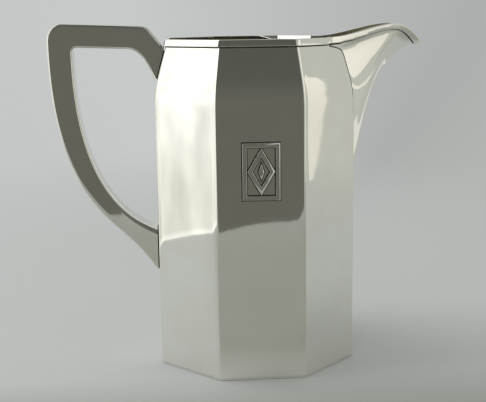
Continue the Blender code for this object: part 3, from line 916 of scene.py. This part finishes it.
def colour_by(tree, value, stops):
    """A colour that follows a value through stops of (value, colour)."""
    low, high = stops[0][0], stops[-1][0]
    share = tree.nodes.new("ShaderNodeMapRange")
    share.inputs["From Min"].default_value = low
    share.inputs["From Max"].default_value = high
    tree.links.new(value, share.inputs["Value"])
    ramp = tree.nodes.new("ShaderNodeValToRGB")
    tree.links.new(share.outputs["Result"], ramp.inputs["Fac"])
    points = ramp.color_ramp.elements
    while len(points) < len(stops):
        points.new(0.5)
    for point, (place, colour) in zip(points, stops):
        point.position = (place - low) / (high - low)
        point.color = (*colour, 1.0)
    return ramp.outputs["Color"]


def streaks(tree, coords, most):
    """Soft slanting streaks: a strength around 1 that varies by most."""
    lay = tree.nodes.new("ShaderNodeMapping")
    lay.inputs["Rotation"].default_value = (STREAK_SLANT, 0.0, 0.0)
    lay.inputs["Scale"].default_value = STREAK_SCALE
    pattern = tree.nodes.new("ShaderNodeTexNoise")
    pattern.inputs["Scale"].default_value = 1.0
    pattern.inputs["Detail"].default_value = 2.0
    level = tree.nodes.new("ShaderNodeMapRange")
    limits = {"From Min": 0.3, "From Max": 0.7, "To Min": 1.0 - most, "To Max": 1.0 + most}
    for key, number in limits.items():
        level.inputs[key].default_value = number
    tree.links.new(coords, lay.inputs["Vector"])
    tree.links.new(lay.outputs["Vector"], pattern.inputs["Vector"])
    tree.links.new(pattern.outputs["Fac"], level.inputs["Value"])
    return level.outputs["Result"]


def card_light(name, stops, streak):
    """A card's light: its colour by height, or one colour all over, and its streaks."""
    material = bpy.data.materials.new(name)
    material.use_nodes = True
    tree = material.node_tree
    tree.nodes.clear()
    out = tree.nodes.new("ShaderNodeOutputMaterial")
    glow = tree.nodes.new("ShaderNodeEmission")
    tree.links.new(glow.outputs["Emission"], out.inputs["Surface"])
    if len(stops) == 1:
        glow.inputs["Color"].default_value = (*stops[0][1], 1.0)
        return material
    coords = tree.nodes.new("ShaderNodeTexCoord").outputs["Object"]
    place = tree.nodes.new("ShaderNodeSeparateXYZ")
    tree.links.new(coords, place.inputs["Vector"])
    tree.links.new(colour_by(tree, place.outputs["Z"], stops), glow.inputs["Color"])
    if streak > 0.0:
        tree.links.new(streaks(tree, coords, streak), glow.inputs["Strength"])
    return material


def card(name, faces, stops, streak=0.0):
    """Studio card that only reflections show; each face is a list of points."""
    mesh = bpy.data.meshes.new(name)
    points = [point for face in faces for point in face]
    numbers = iter(range(len(points)))
    mesh.from_pydata(points, [], [[next(numbers) for _ in face] for face in faces])
    item = bpy.data.objects.new(name, mesh)
    bpy.context.scene.collection.objects.link(item)
    mesh.materials.append(card_light(name, stops, streak))
    item.visible_camera = False
    item.visible_shadow = False
    item.visible_diffuse = False


def upright(line, high):
    """The faces of a screen standing on a line of floor points."""
    return [[(*a, 0.0), (*b, 0.0), (*b, high), (*a, high)] for a, b in zip(line, line[1:])]


def make_cards():
    """The room around the table: bright on the left and right, dark in front."""
    card("left_window", upright(LEFT_LINE, ROOM_HIGH), LEFT_STOPS, LEFT_STREAK)
    card("dark_room", upright(FRONT_LINE, ROOM_HIGH), FRONT_STOPS)
    outlines = (RIGHT_FAR_EDGE + RIGHT_NEAR_EDGE, RIGHT_FRONT_PART)
    card("right_window", [[(RIGHT_X, y, z) for y, z in face] for face in outlines], RIGHT_STOPS)
    card("back_window", upright(BACK_LINE, BACK_HIGH), BACK_STOPS)


def floor_paper():
    """Pale paper that takes the shadow near the pitcher and runs into the backdrop further off."""
    n = Nodes("floor_paper")
    n.shader.inputs["Roughness"].default_value = 0.85
    n.shader.inputs["Specular IOR Level"].default_value = 0.1
    coords = n.add("ShaderNodeTexCoord").outputs["Object"]
    place = n.add("ShaderNodeSeparateXYZ")
    n.link(coords, place.inputs["Vector"])
    # painted shade: the paper's colour darker in front, where the room is dark
    shade = n.add("ShaderNodeMix", data_type="RGBA")
    shade.inputs["A"].default_value = FLOOR_SHADE
    shade.inputs["B"].default_value = FLOOR_COLOUR
    n.link(n.spread(place.outputs["Y"], SHADE_FROM, SHADE_TO, 0.0, 1.0), shade.inputs["Factor"])
    n.link(shade.outputs["Result"], n.shader.inputs["Base Color"])
    direction = n.add("ShaderNodeVectorMath", operation="NORMALIZE")
    n.link(coords, direction.inputs[0])
    sideways = n.add("ShaderNodeSeparateXYZ")
    n.link(direction.outputs["Vector"], sideways.inputs["Vector"])
    glow = n.add("ShaderNodeEmission")
    n.link(colour_by(n.tree, sideways.outputs["X"], BACKDROP_STOPS), glow.inputs["Color"])
    reach = n.add("ShaderNodeVectorMath", operation="LENGTH")
    n.link(coords, reach.inputs[0])
    fade = n.add("ShaderNodeMapRange", interpolation_type="SMOOTHSTEP")
    fade.inputs["From Min"].default_value = FLOOR_NEAR
    fade.inputs["From Max"].default_value = FLOOR_FAR
    n.link(reach.outputs["Value"], fade.inputs["Value"])
    mix = n.add("ShaderNodeMixShader")
    n.link(fade.outputs["Result"], mix.inputs["Fac"])
    n.link(n.shader.outputs["BSDF"], mix.inputs[1])
    n.link(glow.outputs["Emission"], mix.inputs[2])
    n.link(mix.outputs["Shader"], n.tree.nodes["Material Output"].inputs["Surface"])
    return n.material


def make_floor():
    bm = bmesh.new()
    bmesh.ops.create_circle(bm, cap_ends=True, radius=FLOOR_RADIUS, segments=FLOOR_SIDES)
    mesh = bpy.data.meshes.new("floor")
    bm.to_mesh(mesh)
    bm.free()
    floor = bpy.data.objects.new("floor", mesh)
    bpy.context.scene.collection.objects.link(floor)
    mesh.materials.append(floor_paper())


def make_world():
    world = bpy.data.worlds.new("studio")
    bpy.context.scene.world = world
    world.use_nodes = True
    tree = world.node_tree
    coords = tree.nodes.new("ShaderNodeTexCoord")
    split = tree.nodes.new("ShaderNodeSeparateXYZ")
    tree.links.new(coords.outputs["Generated"], split.inputs["Vector"])
    colour = colour_by(tree, split.outputs["X"], BACKDROP_STOPS)
    tree.links.new(colour, tree.nodes["Background"].inputs["Color"])


def make_light():
    data = bpy.data.lights.new("softbox", "AREA")
    data.shape = "SQUARE"
    data.size = SOFTBOX_SIZE
    data.energy = SOFTBOX_WATTS
    item = bpy.data.objects.new("softbox", data)
    bpy.context.scene.collection.objects.link(item)
    item.location = SOFTBOX_PLACE
    item.rotation_euler = (-SOFTBOX_PLACE).to_track_quat("-Z", "Y").to_euler()
    item.visible_glossy = False


def make_camera():
    data = bpy.data.cameras.new("camera")
    data.lens = CAMERA_LENS
    data.sensor_width = CAMERA_SENSOR
    data.clip_start = CAMERA_CLIP
    item = bpy.data.objects.new("camera", data)
    bpy.context.scene.collection.objects.link(item)
    turn = (Matrix.Rotation(-CAMERA_YAW, 4, "Z") @ Matrix.Rotation(0.5 * math.pi - CAMERA_PITCH, 4, "X")
            @ Matrix.Rotation(-CAMERA_ROLL, 4, "Z"))
    item.matrix_world = Matrix.Translation(CAMERA_PLACE) @ turn
    bpy.context.scene.camera = item


# ---------------------------------------------------------------- the pitcher

outside = polished_silver("wall_polish", wave=0.014 * MM)
inside = satin_silver("inside_satin")
# one dark finish for blackened solder and for painted shade in gaps and corners
solder_and_painted_shade = black_solder_and_painted_shade("solder_and_painted_shade")
settle(make_wall(outside, inside), "body_wall")
settle(make_base(polished_silver("base_polish", roughness=0.12)), "base_plate")
settle(make_spout(polished_silver("spout_polish"), inside), "spout")
settle(swept("pitcher_band", band_outline(), polished_silver("band_polish", wave=0.003 * MM)),
       "rim_band")
# a dark strip painted as the shadow in the gap under the band
settle(swept("pitcher_band_painted_shadow", band_shadow_outline(), solder_and_painted_shade), "rim_band")
settle(seam_solder("pitcher_seam_solder_front", -1.0, solder_and_painted_shade), "spout")
settle(seam_solder("pitcher_seam_solder_back", 1.0, solder_and_painted_shade), "spout")
make_handle(polished_silver("cheek_polish"), polished_silver("grip_polish", roughness=0.06), solder_and_painted_shade)
make_ornament(polished_silver("ornament_polish", wave=0.002 * MM), solder_and_painted_shade)
make_floor()
make_world()
make_cards()
make_light()
make_camera()
bpy.context.scene.view_settings.view_transform = "Standard"
